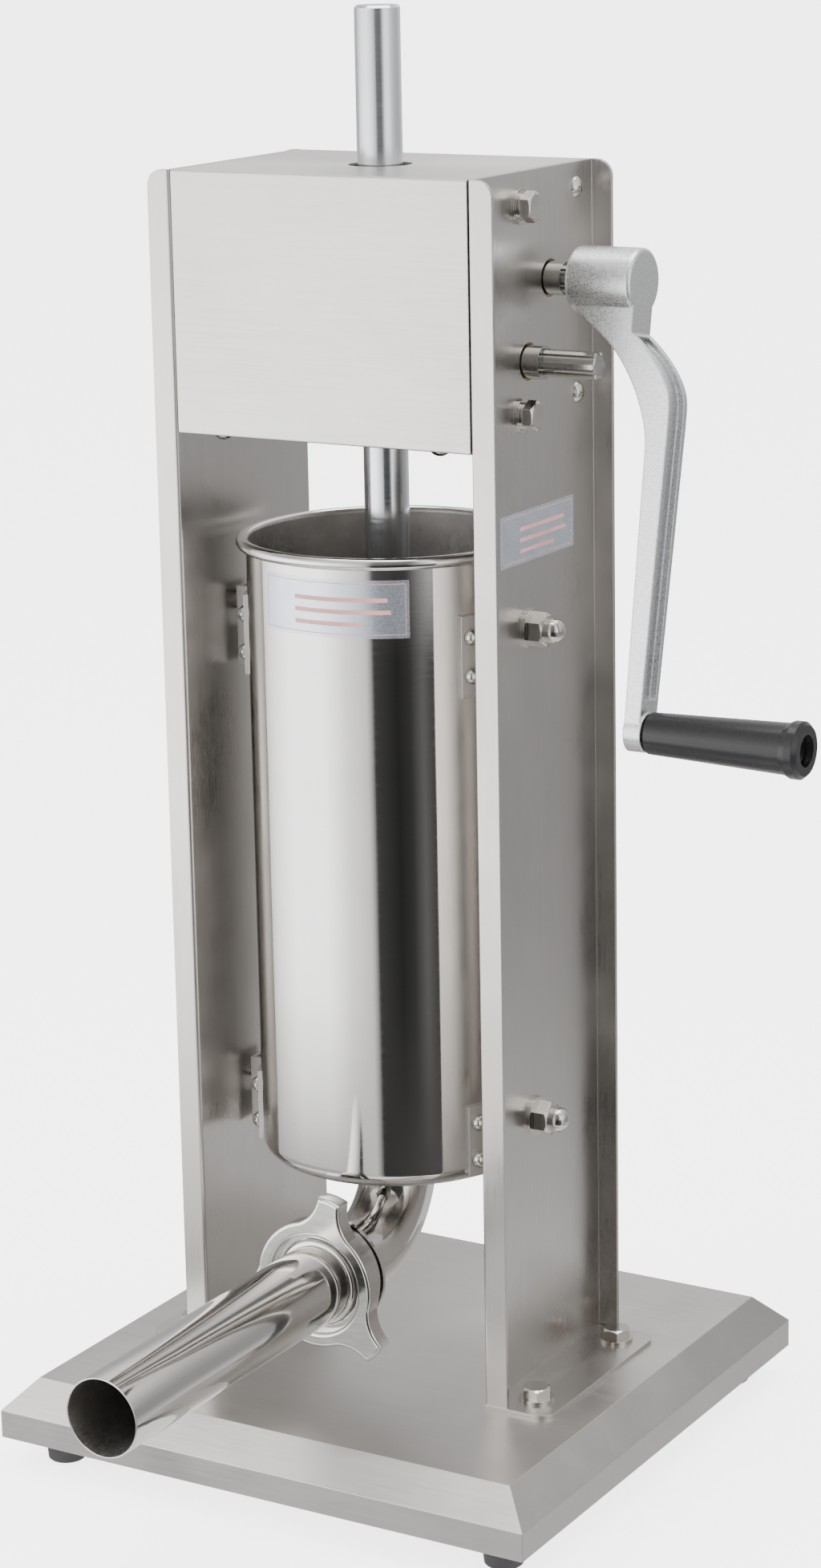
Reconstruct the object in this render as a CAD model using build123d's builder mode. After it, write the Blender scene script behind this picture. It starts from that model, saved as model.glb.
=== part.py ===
"""Vertical two-speed sausage stuffer: steel stand, rack-driven piston, lift-out barrel and horn.

Millimetres. X to the right, Y to the back (the front faces -Y), Z up.
The origin is the middle of the base, on the floor.
"""

import math
import os

from build123d import *

os.makedirs("parts", exist_ok=True)

# ---------------------------------------------------------------- driving dimensions
running = 0.06  # radial clearance of a shaft in its bush
loose = 0.4  # gap between parts of different moving groups
seat = 0.05  # radial clearance of a bolt in its own hole

# fasteners: shank radius, width over flats or head radius, and head height
bolt_radius, bolt_flats, bolt_head = 4.0, 13.0, 5.3
screw_radius, screw_head_radius, screw_head = 2.0, 5.2, 3.0
screw_length = 8.0
recess_width, recess_depth = 1.1, 1.4
flat_washer_radius, flat_washer = 8.5, 1.6
spring_washer_radius, spring_washer = 6.8, 2.0

# base pan, on four rubber feet
base_half_x, base_half_y = 150.0, 146.5
base_sheet = 1.5
foot_height, foot_radius = 15.0, 11.0
skirt_height = 14.4
bevel_rise, bevel_run = 15.5, 14.6
foot_x, foot_y = base_half_x - 23.0, base_half_y - 23.5
foot_screw_radius, foot_screw_seat = 2.5, 7.0
foot_screw_length = foot_height - foot_screw_seat + 7.5
lip_width = 38.0
base_top = foot_height + skirt_height + bevel_rise

# barrel
barrel_radius, barrel_wall = 69.5, 1.2
barrel_inner = barrel_radius - barrel_wall
barrel_bottom, barrel_top = 150.0, 466.5
barrel_corner = 9.0
rim_bead = 3.0

# columns, one each side of the barrel
column_sheet = 2.0
column_gap = 12.0
web_inner_x = barrel_radius + column_gap
web_outer_x = web_inner_x + column_sheet
column_half_y = 59.5
flange_width = 10.5
column_top = 644.0
foot_plate_reach = 33.5
foot_plate_front, foot_plate_back = -column_half_y - 0.5, column_half_y - 2.5
anchor_x = web_outer_x + 17.5
anchor_ys = (foot_plate_front + 18.0, foot_plate_back - 14.0)

# gearbox covers
cover_sheet = 1.2
cover_height = 126.0
cover_bottom = column_top - cover_height
cover_half_x = web_inner_x - 0.6
cover_front_y = 0.5 - column_half_y
cover_return = 14.0
bottom_screw_x, bottom_screw_y = web_inner_x - 21.5, column_half_y - 9.0
side_screw_y = column_half_y - 17.5
side_screw_zs = (cover_bottom + 16.0, column_top - 12.0)

# gear frame
frame_wall = 8.0
frame_front, frame_back = 19.5 - column_half_y, column_half_y - 23.5
frame_bottom, frame_top = cover_bottom + 4.0, column_top - 4.0
frame_plate = 6.0
frame_bolt_y, frame_bolt_zs = -14.0, (frame_bottom + 8.5, frame_top - 12.0)
wall_inner_x = web_inner_x - frame_wall
centre_plate_thick = 6.0
centre_plate_front = frame_front + 12.0
plate_screw_ys = (-20.0, frame_back - 5.0)
plate_screw_head, plate_screw_sink = 3.6, 2.6

# piston rod and its guides
rod_radius = 11.0
guide_radius = rod_radius + 3.0
guide_flange_radius = guide_radius + 0.6
rod_opening_radius = rod_radius + 4.5
centre_plate_x = guide_flange_radius + loose
rod_top = column_top + 74.4

# gearing
gear_module = 2.0
pressure_angle = math.radians(25.0)
backlash = 0.3
rack_pinion_teeth, drive_teeth, slow_teeth = 8, 31, 12
rack_addendum, rack_dedendum = 1.3, 2.1
rack_pitch_y = rod_radius - 4.0
fast_z = column_top - 52.2
fast_y = rack_pitch_y + gear_module * rack_pinion_teeth / 2
slow_y = -7.0
centre_distance = gear_module * (drive_teeth + slow_teeth) / 2
slow_z = fast_z - math.sqrt(centre_distance**2 - (fast_y - slow_y) ** 2)
pinion_half_face = rod_radius + 1.5
drive_gear_x, drive_gear_face = centre_plate_x + centre_plate_thick + 13.0, 10.0
journal_radius = 8.0
journal_end_x = web_outer_x + 9.0
shaft_end_x = journal_end_x + 28.5
spline_radius, spline_root = journal_radius - 1.5, journal_radius - 2.5
spline_key_width, spline_count = 2.4, 6
bush_radius, bush_flange, bush_flange_radius = journal_radius + 3.0, 2.0, journal_radius + 5.0
collar_radius, collar_width = journal_radius + 5.0, 7.0
gear_hub_radius = journal_radius + 6.0

# four studs that carry the barrel by its hangers
stud_y, stud_zs = -8.0, (barrel_bottom + 31.0, barrel_top - 39.5)
stud_radius, stud_head_radius, stud_head = 5.0, 7.5, 2.9
stud_washer_radius, stud_washer = 10.0, 1.8
acorn_flats, acorn_hexagon, acorn_radius, acorn_dome = 15.0, 8.0, 6.2, 5.4
hanger_sheet = 2.0
hanger_outer_x = web_inner_x - 4.0
hanger_front, hanger_back = stud_y - 10.0, stud_y + 9.0
hanger_heights = (36.0, 40.0)
hanger_above_stud = 9.0
hanger_wrap = (59.5, 76.0)  # degrees round the barrel from its front
lift_travel = 8.0
cap_nut_angle, cap_nut_spread = 64.0, 19.0
cap_nut_flange_radius, cap_nut_radius, cap_nut_dome = 4.2, 3.6, 2.6
weld_stud_radius = 1.5

# outlet, horn and ring nut
outlet_radius, tube_wall = 19.0, 1.2
elbow_bend = 45.0
outlet_z = barrel_bottom - elbow_bend - 1.5
elbow_end_y = -elbow_bend - 21.0
thread_radius, ferrule_length = outlet_radius + 5.5, 9.5
ferrule_flange_radius, ferrule_flange = thread_radius + 4.0, 2.0
gasket = 1.5
horn_flange_radius, horn_flange = thread_radius - 0.3, 1.8
horn_root_radius, horn_wall = outlet_radius + 1.0, 0.8
horn_tip_radius = horn_root_radius - 0.6
horn_flare, horn_bead = 2.0, 2.2
horn_length = 192.4
nut_skirt_radius = thread_radius + 3.1
nut_ring_radius = nut_skirt_radius + 4.9
nut_wing_radius = nut_ring_radius + 13.1
nut_lip, nut_lip_radius = 3.8, horn_root_radius + horn_bead + 0.5
nut_mouth_radius, nut_mouth_depth = nut_lip_radius + 2.5, 5.0
wing_angles = (78.0, 198.0, 318.0)
wing_half_width, wing_root_angle = 6.4, 34.0

# piston
piston_low = barrel_bottom + 75.0
piston_plate, piston_seal_height = 6.0, 8.0
piston_radius, seal_radius = barrel_inner - 1.8, barrel_inner - 0.3
piston_stub_radius = rod_radius - 4.0
rack_low, rack_high = piston_low + 105.0, rod_top - 12.4
piston_nut_flats, piston_nut_height = 20.0, 6.0

# crank
crank_tilt = math.radians(10.3)  # the arm leans this far forward of straight down
crank_radius = 209.0
hub_x, hub_radius = journal_end_x + 6.5, journal_radius + 8.0
hub_end_x = hub_x + 34.5
hub_rounding = 2.0
socket_end_x = shaft_end_x + 3.0
socket_gap = 0.1
arm_half_width, arm_tip_half_width = 10.0, 8.5
arm_outer_x, arm_thick = hub_end_x + 22.5, 11.0
arm_tip_x = arm_outer_x - 3.0
arm_inner_x = arm_outer_x - arm_thick
channel_depth, channel_half_width = 3.0, 6.0
boss_radius, boss_end_x = 9.5, arm_tip_x + 1.0
grip_length = 80.0
grip_x = boss_end_x + 1.0
grip_root_radius, grip_end_radius, grip_bead_radius = 10.0, 12.2, 13.6
spindle_radius, spindle_head_radius = 4.0, 6.2
grip_recess_radius, grip_recess_depth = 7.6, 7.0

PUSH = (Align.CENTER, Align.CENTER, Align.MIN)


# ---------------------------------------------------------------- helpers
def save(piece, name):
    """Label a finished piece and write its STEP file."""
    piece.part.label = name
    export_step(piece.part, f"parts/{name}.step")


def facing(x, y, z, direction):
    """Plane at a point, whose normal points along the direction."""
    return Plane(origin=(x, y, z), z_dir=direction)


def rod_on(plane, radius, length, mode=Mode.ADD):
    """Cylinder standing on a plane."""
    with Locations(plane):
        Cylinder(radius, length, align=PUSH, mode=mode)


def tube_on(plane, outer, inner, length):
    """Ring standing on a plane."""
    with BuildSketch(plane) as ring:
        Circle(outer)
        Circle(inner, mode=Mode.SUBTRACT)
    extrude(ring.sketch, amount=length)


def section_through(plane):
    """Plane through another plane's axis: local x is kept and local y runs along its normal."""
    return Plane(origin=plane.origin, x_dir=plane.x_dir, z_dir=-plane.y_dir)


def turned_on(plane, *points, mode=Mode.ADD):
    """Turn a half outline of (radius, height) points about a plane's normal."""
    with BuildSketch(section_through(plane)) as half:
        with BuildLine():
            Polyline(*points, close=True)
        make_face()
    return revolve(half.sketch, Axis(plane.origin, plane.z_dir), mode=mode)


def hexagon_on(plane, flats, height, bore=0.0):
    """Hexagonal head or nut standing on a plane, with its outer corners turned off."""
    with BuildSketch(plane) as outline:
        RegularPolygon(flats / 2, 6, major_radius=False)
        if bore:
            Circle(bore, mode=Mode.SUBTRACT)
    prism = extrude(outline.sketch, amount=height, mode=Mode.PRIVATE)
    corner = flats * 0.6
    envelope = turned_on(
        plane, (0, 0), (corner, 0), (corner, height - 0.1 * flats), (flats * 0.46, height), (0, height),
        mode=Mode.PRIVATE,
    )
    add(prism & envelope)


def dome_on(plane, radius, height):
    """Shallow domed head, a cap of a sphere, standing on a plane."""
    sphere = (radius**2 + height**2) / (2 * height)
    half_angle = math.asin(radius / sphere) / 2
    middle = (sphere * math.sin(half_angle), height - sphere + sphere * math.cos(half_angle))
    with BuildSketch(section_through(plane)) as half:
        with BuildLine():
            Line((0, 0), (radius, 0))
            ThreePointArc((radius, 0), middle, (0, height))
            Line((0, height), (0, 0))
        make_face()
    revolve(half.sketch, Axis(plane.origin, plane.z_dir))


def pan_screw_on(plane):
    """Pan-head screw whose head stands on a plane and whose shank runs down behind it."""
    dome_on(plane, screw_head_radius, screw_head)
    with BuildSketch(plane.offset(screw_head - recess_depth)) as cross:
        Rectangle(recess_width, screw_head_radius)
        Rectangle(screw_head_radius, recess_width)
    extrude(cross.sketch, amount=2 * recess_depth, mode=Mode.SUBTRACT)
    rod_on(plane.offset(-screw_length), screw_radius, screw_length)


def splined_outline(plane, gap=0.0):
    """Cross-section of a splined shaft end, grown by a gap to make its socket."""
    with BuildSketch(plane) as outline:
        Circle(spline_root + gap)
        with PolarLocations(0, spline_count):
            Rectangle(spline_radius + gap, spline_key_width + 2 * gap, align=(Align.MIN, Align.CENTER))
    return outline.sketch


def tooth_outline(teeth, tip_radius, root_radius):
    """One involute tooth, pointing along local x, with its foot sunk in the root circle."""
    pitch_radius = gear_module * teeth / 2
    base_radius = pitch_radius * math.cos(pressure_angle)
    involute = math.tan(pressure_angle) - pressure_angle
    pitch_half_angle = (math.pi * gear_module / 2 - backlash / 2) / (2 * pitch_radius)

    def flank_point(radius):
        roll = math.acos(min(1.0, base_radius / radius))
        angle = pitch_half_angle + involute - (math.tan(roll) - roll)
        return radius * math.cos(angle), radius * math.sin(angle)

    start = max(base_radius, root_radius)
    flank = [flank_point(start + (tip_radius - start) * step / 4) for step in range(5)]
    foot_angle = math.atan2(flank[0][1], flank[0][0])
    sunk = root_radius - 0.6
    foot = (sunk * math.cos(foot_angle), sunk * math.sin(foot_angle))
    with BuildSketch(mode=Mode.PRIVATE) as tooth:
        with BuildLine():
            Line(foot, flank[0])
            Spline(*flank)
            ThreePointArc(flank[-1], (tip_radius, 0), (flank[-1][0], -flank[-1][1]))
            Spline(*[(x, -y) for x, y in reversed(flank)])
            Line((flank[0][0], -flank[0][1]), (foot[0], -foot[1]))
            Line((foot[0], -foot[1]), foot)
        make_face()
    return tooth.sketch


def gear_on(plane, teeth, first_tooth, tip_radius, root_radius, face):
    """Spur gear standing on a plane; first_tooth is a tooth's angle in degrees from local x."""
    tooth = tooth_outline(teeth, tip_radius, root_radius)
    with BuildSketch(plane) as outline:
        Circle(root_radius)
        with PolarLocations(0, teeth, start_angle=first_tooth):
            add(tooth)
    extrude(outline.sketch, amount=face)


def mirrored_sides():
    """The two sides of the machine: +1 is the crank's side."""
    return (1, -1)


# ---------------------------------------------------------------- base
with BuildPart() as base_pan:
    with BuildSketch(Plane.XY.offset(foot_height)):
        Rectangle(2 * base_half_x, 2 * base_half_y)
    extrude(amount=skirt_height)
    with BuildSketch(Plane.XY.offset(foot_height + skirt_height)):
        Rectangle(2 * base_half_x, 2 * base_half_y)
    with BuildSketch(Plane.XY.offset(base_top)):
        Rectangle(2 * (base_half_x - bevel_run), 2 * (base_half_y - bevel_run))
    loft()
    offset(amount=-base_sheet, openings=base_pan.faces().sort_by(Axis.Z)[0])
    with BuildSketch(Plane.XY.offset(foot_height)):
        Rectangle(2 * base_half_x, 2 * base_half_y)
        Rectangle(2 * (base_half_x - lip_width), 2 * (base_half_y - lip_width), mode=Mode.SUBTRACT)
    extrude(amount=base_sheet)
    with Locations(Plane.XY.offset(foot_height + base_sheet)):
        with GridLocations(2 * foot_x, 2 * foot_y, 2, 2):
            Hole(foot_screw_radius + seat, depth=2 * base_sheet)
    with Locations(Plane.XY.offset(base_top)):
        for side in mirrored_sides():
            with Locations(*[(side * anchor_x, y) for y in anchor_ys]):
                Hole(bolt_radius + seat, depth=2 * base_sheet)
save(base_pan, "base_pan")

foot_places = [(side * foot_x, end * foot_y) for side in (1, -1) for end in (1, -1)]

with BuildPart() as rubber_feet:
    for x, y in foot_places:
        bore = foot_screw_radius + seat
        recess = foot_radius * 0.5
        turned_on(
            facing(x, y, 0, (0, 0, 1)),
            (bore, foot_height), (foot_radius, foot_height), (foot_radius - 1.4, 0.8), (foot_radius - 2.2, 0),
            (recess, 0), (recess, foot_screw_seat), (bore, foot_screw_seat),
        )
save(rubber_feet, "rubber_feet")

with BuildPart() as foot_screws:
    for x, y in foot_places:
        dome_on(facing(x, y, foot_screw_seat, (0, 0, -1)), 4.6, 2.6)
        rod_on(facing(x, y, foot_screw_seat, (0, 0, 1)), foot_screw_radius, foot_screw_length)
save(foot_screws, "foot_screws")

with BuildPart() as foot_nuts:
    for x, y in foot_places:
        hexagon_on(facing(x, y, foot_height + base_sheet, (0, 0, 1)), 8.0, 4.0,
                   bore=foot_screw_radius + seat)
save(foot_nuts, "foot_nuts")


# ---------------------------------------------------------------- columns
def column(side):
    """Sheet channel that opens outward, with a foot plate bent out of its web."""
    outer = web_outer_x + flange_width
    with BuildPart() as channel:
        with BuildSketch(Plane.XY.offset(base_top)):
            with Locations((side * (web_inner_x + web_outer_x) / 2, 0)):
                Rectangle(column_sheet, 2 * column_half_y)
            for end in (1, -1):
                with Locations((side * (web_inner_x + outer) / 2, end * (column_half_y - column_sheet / 2))):
                    Rectangle(outer - web_inner_x, column_sheet)
        extrude(amount=column_top - base_top)
        with BuildSketch(Plane.XY.offset(base_top)):
            with Locations((side * web_inner_x, foot_plate_front)):
                Rectangle(
                    web_outer_x + foot_plate_reach - web_inner_x,
                    foot_plate_back - foot_plate_front,
                    align=(Align.MIN if side > 0 else Align.MAX, Align.MIN),
                )
        extrude(amount=column_sheet)
        tops = channel.edges().filter_by(Axis.Y).group_by(Axis.Z)[-1].sort_by(Axis.X)
        fillet([tops[-1], tops[-2]] if side > 0 else [tops[0], tops[1]], radius=8.0)
        plate_corners = channel.edges().filter_by(Axis.Z).group_by(Axis.X)[-1 if side > 0 else 0]
        fillet(plate_corners, radius=8.0)
        bends = (
            channel.edges()
            .filter_by(Axis.Z)
            .filter_by(lambda edge: edge.length > column_top / 2)
            .filter_by(lambda edge: abs(abs(edge.center().X) - web_inner_x) < 0.1)
        )
        fillet(bends, radius=column_sheet * 0.9)
        for y, z, radius in column_holes(side):
            rod_on(facing(side * (web_inner_x - 1), y, z, (side, 0, 0)), radius, column_sheet + 2,
                   mode=Mode.SUBTRACT)
        for y in anchor_ys:
            rod_on(facing(side * anchor_x, y, base_top - 1, (0, 0, 1)), bolt_radius + seat, column_sheet + 2,
                   mode=Mode.SUBTRACT)
    return channel


def column_holes(side):
    """Holes in a column's web: (y, z, radius) of each."""
    holes = [(frame_bolt_y, z, bolt_radius + seat) for z in frame_bolt_zs]
    holes += [(side_screw_y, z, screw_radius + seat) for z in side_screw_zs]
    holes += [(stud_y, z, stud_radius - 0.5 + seat) for z in stud_zs]
    if side > 0:
        holes += [(fast_y, fast_z, journal_radius + 1.0), (slow_y, slow_z, journal_radius + 1.0)]
    return holes


right_column = column(1)
save(right_column, "right_column")
left_column = column(-1)
save(left_column, "left_column")

anchor_places = [(side * anchor_x, y) for side in (1, -1) for y in anchor_ys]
anchor_length = 16.0

with BuildPart() as anchor_bolts:
    for x, y in anchor_places:
        seat_z = base_top + column_sheet + flat_washer
        hexagon_on(facing(x, y, seat_z, (0, 0, 1)), bolt_flats, bolt_head)
        rod_on(facing(x, y, seat_z, (0, 0, -1)), bolt_radius, anchor_length)
save(anchor_bolts, "anchor_bolts")

with BuildPart() as anchor_washers:
    for x, y in anchor_places:
        tube_on(facing(x, y, base_top + column_sheet, (0, 0, 1)), flat_washer_radius, bolt_radius + seat,
                flat_washer)
save(anchor_washers, "anchor_washers")

with BuildPart() as anchor_nuts:
    for x, y in anchor_places:
        hexagon_on(facing(x, y, base_top - base_sheet, (0, 0, -1)), bolt_flats, 6.5,
                   bore=bolt_radius + seat)
save(anchor_nuts, "anchor_nuts")

# ---------------------------------------------------------------- gearbox covers
cover_inner_y = cover_front_y + cover_sheet

with BuildPart() as front_cover:
    with BuildSketch(Plane.YZ.offset(-cover_half_x)):
        with BuildLine():
            Polyline(
                (cover_front_y + cover_return, cover_bottom), (cover_front_y, cover_bottom),
                (cover_front_y, column_top), (column_half_y - 1.0, column_top),
                (column_half_y - 1.0, column_top - cover_sheet), (cover_inner_y, column_top - cover_sheet),
                (cover_inner_y, cover_bottom + cover_sheet),
                (cover_front_y + cover_return, cover_bottom + cover_sheet), close=True,
            )
        make_face()
    extrude(amount=2 * cover_half_x)
    for side in mirrored_sides():
        with Locations((side * (cover_half_x - cover_sheet / 2), cover_inner_y, cover_bottom + cover_sheet)):
            Box(cover_sheet, cover_return - cover_sheet, cover_height - 2 * cover_sheet,
                align=(Align.CENTER, Align.MIN, Align.MIN))
    fold = front_cover.edges().filter_by(Axis.X).filter_by(
        lambda edge: abs(edge.center().Y - cover_front_y) < 0.01)
    fillet(fold, radius=cover_sheet * 0.8)
    rod_on(facing(0, 0, column_top - 3, (0, 0, 1)), rod_opening_radius, 6, mode=Mode.SUBTRACT)
    for side in mirrored_sides():
        rod_on(facing(side * bottom_screw_x, -bottom_screw_y, cover_bottom - 1, (0, 0, 1)),
               screw_radius + seat, 4, mode=Mode.SUBTRACT)
save(front_cover, "front_cover")

with BuildPart() as rear_cover:
    rear_y = column_half_y - 1.0
    rear_top = column_top - cover_sheet
    with Locations((0, rear_y, cover_bottom)):
        Box(2 * cover_half_x, cover_sheet, rear_top - cover_bottom,
            align=(Align.CENTER, Align.MAX, Align.MIN))
    with Locations((0, rear_y - cover_sheet, cover_bottom)):
        Box(2 * cover_half_x, cover_return, cover_sheet, align=(Align.CENTER, Align.MAX, Align.MIN))
    for side in mirrored_sides():
        ear_x = side * (cover_half_x - cover_sheet / 2)
        with Locations((ear_x, rear_y - cover_sheet, cover_bottom + cover_sheet)):
            Box(cover_sheet, rear_y - cover_sheet - frame_back - 1.0, rear_top - cover_bottom - cover_sheet,
                align=(Align.CENTER, Align.MAX, Align.MIN))
        for z in side_screw_zs:
            rod_on(facing(side * (cover_half_x - 3), side_screw_y, z, (side, 0, 0)), screw_radius + seat, 6,
                   mode=Mode.SUBTRACT)
        rod_on(facing(side * bottom_screw_x, bottom_screw_y, cover_bottom - 1, (0, 0, 1)),
               screw_radius + seat, 4, mode=Mode.SUBTRACT)
save(rear_cover, "rear_cover")

bottom_plate_z = cover_bottom + cover_sheet
with BuildPart() as bottom_cover:
    with BuildSketch(Plane.XY.offset(bottom_plate_z)):
        Rectangle(2 * (cover_half_x - cover_sheet) - 0.4, 2 * (column_half_y - 1.0 - cover_sheet) - 1.4)
        Circle(rod_opening_radius, mode=Mode.SUBTRACT)
        with GridLocations(2 * bottom_screw_x, 2 * bottom_screw_y, 2, 2):
            Circle(screw_radius + seat, mode=Mode.SUBTRACT)
    extrude(amount=cover_sheet)
save(bottom_cover, "bottom_cover")

with BuildPart() as bottom_cover_screws:
    for side in mirrored_sides():
        for y in (-bottom_screw_y, bottom_screw_y):
            pan_screw_on(facing(side * bottom_screw_x, y, cover_bottom, (0, 0, -1)))
save(bottom_cover_screws, "bottom_cover_screws")

with BuildPart() as side_cover_screws:
    for side in mirrored_sides():
        for z in side_screw_zs:
            pan_screw_on(facing(side * web_outer_x, side_screw_y, z, (side, 0, 0)))
save(side_cover_screws, "side_cover_screws")

# ---------------------------------------------------------------- gear frame and bearings
frame_mid_y = (frame_front + frame_back) / 2
frame_depth = frame_back - frame_front

with BuildPart() as gear_frame:
    for side in mirrored_sides():
        with Locations((side * (wall_inner_x + frame_wall / 2), frame_mid_y, frame_bottom)):
            Box(frame_wall, frame_depth, frame_top - frame_bottom, align=PUSH)
    for z in (frame_bottom, frame_top - frame_plate):
        with Locations((0, frame_mid_y, z)):
            Box(2 * wall_inner_x, frame_depth, frame_plate, align=PUSH)
    rod_on(facing(0, 0, frame_bottom - 1, (0, 0, 1)), guide_radius, frame_top, mode=Mode.SUBTRACT)
    for side in mirrored_sides():
        shafts = [(fast_y, fast_z), (slow_y, slow_z)] if side > 0 else [(fast_y, fast_z)]
        for y, z in shafts:
            rod_on(facing(side * (wall_inner_x - 1), y, z, (side, 0, 0)), bush_radius, frame_wall + 2,
                   mode=Mode.SUBTRACT)
        for z in frame_bolt_zs:
            rod_on(facing(side * (wall_inner_x - 1), frame_bolt_y, z, (side, 0, 0)), bolt_radius + seat,
                   frame_wall + 2, mode=Mode.SUBTRACT)
    for y in plate_screw_ys:
        for z, up in ((frame_top, -1), (frame_bottom, 1)):
            place = facing(centre_plate_x + centre_plate_thick / 2, y, z, (0, 0, up))
            rod_on(place, screw_radius + seat, frame_plate, mode=Mode.SUBTRACT)
            rod_on(place, plate_screw_head + 0.2, plate_screw_sink, mode=Mode.SUBTRACT)
save(gear_frame, "gear_frame")

with BuildPart() as gear_frame_bolts:
    for side in mirrored_sides():
        for z in frame_bolt_zs:
            seat_x = side * (web_outer_x + flat_washer + spring_washer)
            hexagon_on(facing(seat_x, frame_bolt_y, z, (side, 0, 0)), bolt_flats, bolt_head)
            rod_on(facing(seat_x, frame_bolt_y, z, (-side, 0, 0)), bolt_radius, frame_wall + 5.0)
save(gear_frame_bolts, "gear_frame_bolts")

with BuildPart() as gear_frame_washers:
    for side in mirrored_sides():
        for z in frame_bolt_zs:
            place = facing(side * web_outer_x, frame_bolt_y, z, (side, 0, 0))
            tube_on(place, flat_washer_radius, bolt_radius + seat, flat_washer)
            tube_on(place.offset(flat_washer), spring_washer_radius, bolt_radius + seat, spring_washer)
save(gear_frame_washers, "gear_frame_washers")

with BuildPart() as centre_bearing_plate:
    plate_low, plate_high = frame_bottom + frame_plate, frame_top - frame_plate
    with Locations((centre_plate_x, centre_plate_front, plate_low)):
        Box(centre_plate_thick, frame_back - centre_plate_front, plate_high - plate_low,
            align=(Align.MIN, Align.MIN, Align.MIN))
    for y, z in ((fast_y, fast_z), (slow_y, slow_z)):
        rod_on(facing(centre_plate_x - 1, y, z, (1, 0, 0)), bush_radius, centre_plate_thick + 2,
               mode=Mode.SUBTRACT)
    for y in plate_screw_ys:
        for z, up in ((plate_high, -1), (plate_low, 1)):
            rod_on(facing(centre_plate_x + centre_plate_thick / 2, y, z, (0, 0, up)), screw_radius + seat,
                   screw_length + 1.0, mode=Mode.SUBTRACT)
save(centre_bearing_plate, "centre_bearing_plate")

with BuildPart() as bearing_plate_screws:
    for y in plate_screw_ys:
        for z, up in ((frame_top, -1), (frame_bottom, 1)):
            place = facing(centre_plate_x + centre_plate_thick / 2, y, z, (0, 0, up))
            rod_on(place, plate_screw_head, plate_screw_sink)
            rod_on(place, screw_radius, frame_plate + screw_length)
save(bearing_plate_screws, "bearing_plate_screws")

# Each bush: its shaft's axis, the face that its flange bears on, its direction and its depth.
bushes = [
    (fast_y, fast_z, wall_inner_x, 1, frame_wall),
    (slow_y, slow_z, wall_inner_x, 1, frame_wall),
    (fast_y, fast_z, -wall_inner_x, -1, frame_wall),
    (fast_y, fast_z, centre_plate_x, 1, centre_plate_thick),
    (slow_y, slow_z, centre_plate_x, 1, centre_plate_thick),
]
with BuildPart() as shaft_bushes:
    for y, z, face_x, way, depth in bushes:
        bore = journal_radius + running
        tube_on(facing(face_x, y, z, (way, 0, 0)), bush_radius, bore, depth)
        tube_on(facing(face_x, y, z, (-way, 0, 0)), bush_flange_radius, bore, bush_flange)
save(shaft_bushes, "shaft_bushes")

with BuildPart() as rod_guide_bushes:
    for z, way in ((frame_bottom, -1), (frame_top, 1)):
        tube_on(facing(0, 0, z, (0, 0, -way)), guide_radius, rod_radius + running, frame_plate)
        tube_on(facing(0, 0, z - way * frame_plate, (0, 0, -way)), guide_flange_radius,
                rod_radius + running, bush_flange)
save(rod_guide_bushes, "rod_guide_bushes")

# ---------------------------------------------------------------- studs that carry the barrel
stud_head_x = hanger_outer_x - hanger_sheet - 0.3
stud_thread = stud_radius - 0.5
stud_thread_length = 15.0

with BuildPart() as barrel_studs:
    for side in mirrored_sides():
        for z in stud_zs:
            rod_on(facing(side * stud_head_x, stud_y, z, (-side, 0, 0)), stud_head_radius, stud_head)
            rod_on(facing(side * stud_head_x, stud_y, z, (side, 0, 0)), stud_radius,
                   web_inner_x - stud_head_x)
            rod_on(facing(side * web_inner_x, stud_y, z, (side, 0, 0)), stud_thread, stud_thread_length)
save(barrel_studs, "barrel_studs")

with BuildPart() as stud_washers:
    for side in mirrored_sides():
        for z in stud_zs:
            tube_on(facing(side * web_outer_x, stud_y, z, (side, 0, 0)), stud_washer_radius,
                    stud_thread + seat, stud_washer)
save(stud_washers, "stud_washers")

with BuildPart() as acorn_nuts:
    for side in mirrored_sides():
        for z in stud_zs:
            seat_x = web_outer_x + stud_washer
            place = facing(side * seat_x, stud_y, z, (side, 0, 0))
            hexagon_on(place, acorn_flats, acorn_hexagon)
            rod_on(place.offset(acorn_hexagon - 1.0), acorn_radius, 4.0)
            dome_on(place.offset(acorn_hexagon + 3.0), acorn_radius, acorn_dome)
            bore_depth = stud_thread_length - column_sheet - stud_washer + loose
            rod_on(place, stud_thread + seat, bore_depth, mode=Mode.SUBTRACT)
save(acorn_nuts, "acorn_nuts")

# ---------------------------------------------------------------- barrel and outlet
wall_top = barrel_top - rim_bead
outlet_bore = outlet_radius - tube_wall
ferrule_socket = 2.0
ferrule_back_y = elbow_end_y + ferrule_socket
ferrule_end_y = ferrule_back_y - ferrule_length


def corner_arc(radius, corner, floor):
    """Quarter arc from a floor up to a wall of the given radius."""
    middle = corner * (1 - math.sqrt(0.5))
    ThreePointArc(
        (radius - corner, floor), (radius - middle, floor + middle), (radius, floor + corner)
    )


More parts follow.
